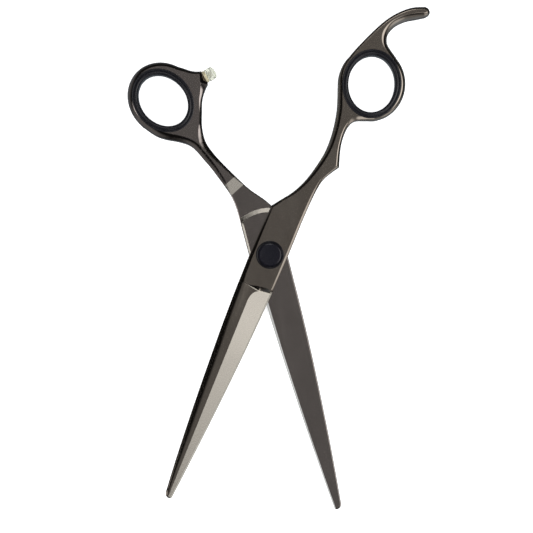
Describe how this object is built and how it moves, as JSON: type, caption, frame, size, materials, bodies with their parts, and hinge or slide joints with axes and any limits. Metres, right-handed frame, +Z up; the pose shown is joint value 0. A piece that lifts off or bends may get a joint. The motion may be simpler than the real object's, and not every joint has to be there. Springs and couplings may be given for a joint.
{
  "type": "hair cutting shears",
  "caption": "Hair cutting shears lying open: long bevelled blades, offset handles with rubber inserts, finger rest, bumper and a round tension dial.",
  "frame": {"origin": "where the pivot axis meets the flat underside of the pivot bolt's head, on the plane that the shears lie on", "axes": "+Z up along the pivot axis towards the dial; +Y between the handles, away from the blade tips; +X towards the finger ring"},
  "size_m": [0.1097, 0.1823, 0.0079],
  "materials": {
    "coated_steel": "polished gunmetal coating over hardened blade steel",
    "rubber": "satin soft black rubber",
    "stud_metal": "polished pale brass",
    "clear_pad": "clear soft plastic",
    "bolt_steel": "machined steel",
    "bronze": "sintered bronze",
    "slip_plastic": "white low-friction plastic",
    "race_steel": "ground bearing steel",
    "spring_steel": "spring steel",
    "dial_black": "blue-black anodised, satin",
    "dial_inlay": "blue-black, smooth"
  },
  "bodies": {
    "finger_side": {"finger_half": "coated_steel", "finger_insert": "rubber", "pivot_bush": "bronze", "lower_race": "race_steel", "ball_cage": "bronze", "bearing_balls": "race_steel"},
    "thumb_side": {"thumb_half": "coated_steel", "thumb_insert": "rubber", "bumper_stud": "stud_metal", "bumper_pad": "clear_pad", "pivot_bolt": "bolt_steel", "glide_washer": "slip_plastic", "upper_race": "race_steel", "spring_washer": "spring_steel", "click_plate": "spring_steel"},
    "dial": {"dial_nut": "dial_black", "dial_cap": "dial_inlay", "detent_balls": "race_steel", "detent_springs": "spring_steel"}
  },
  "joints": [
    {"name": "blades_pivot", "type": "hinge", "parent": "finger_side", "child": "thumb_side", "pos_m": [0, 0, 0.0031], "axis": [0, 0, 1], "range_deg": [-37.4, 50]},
    {"name": "dial_turn", "type": "hinge", "parent": "thumb_side", "child": "dial", "pos_m": [0, 0, 0.0065], "axis": [0, 0, 1], "range_deg": [-150, 150]}
  ]
}
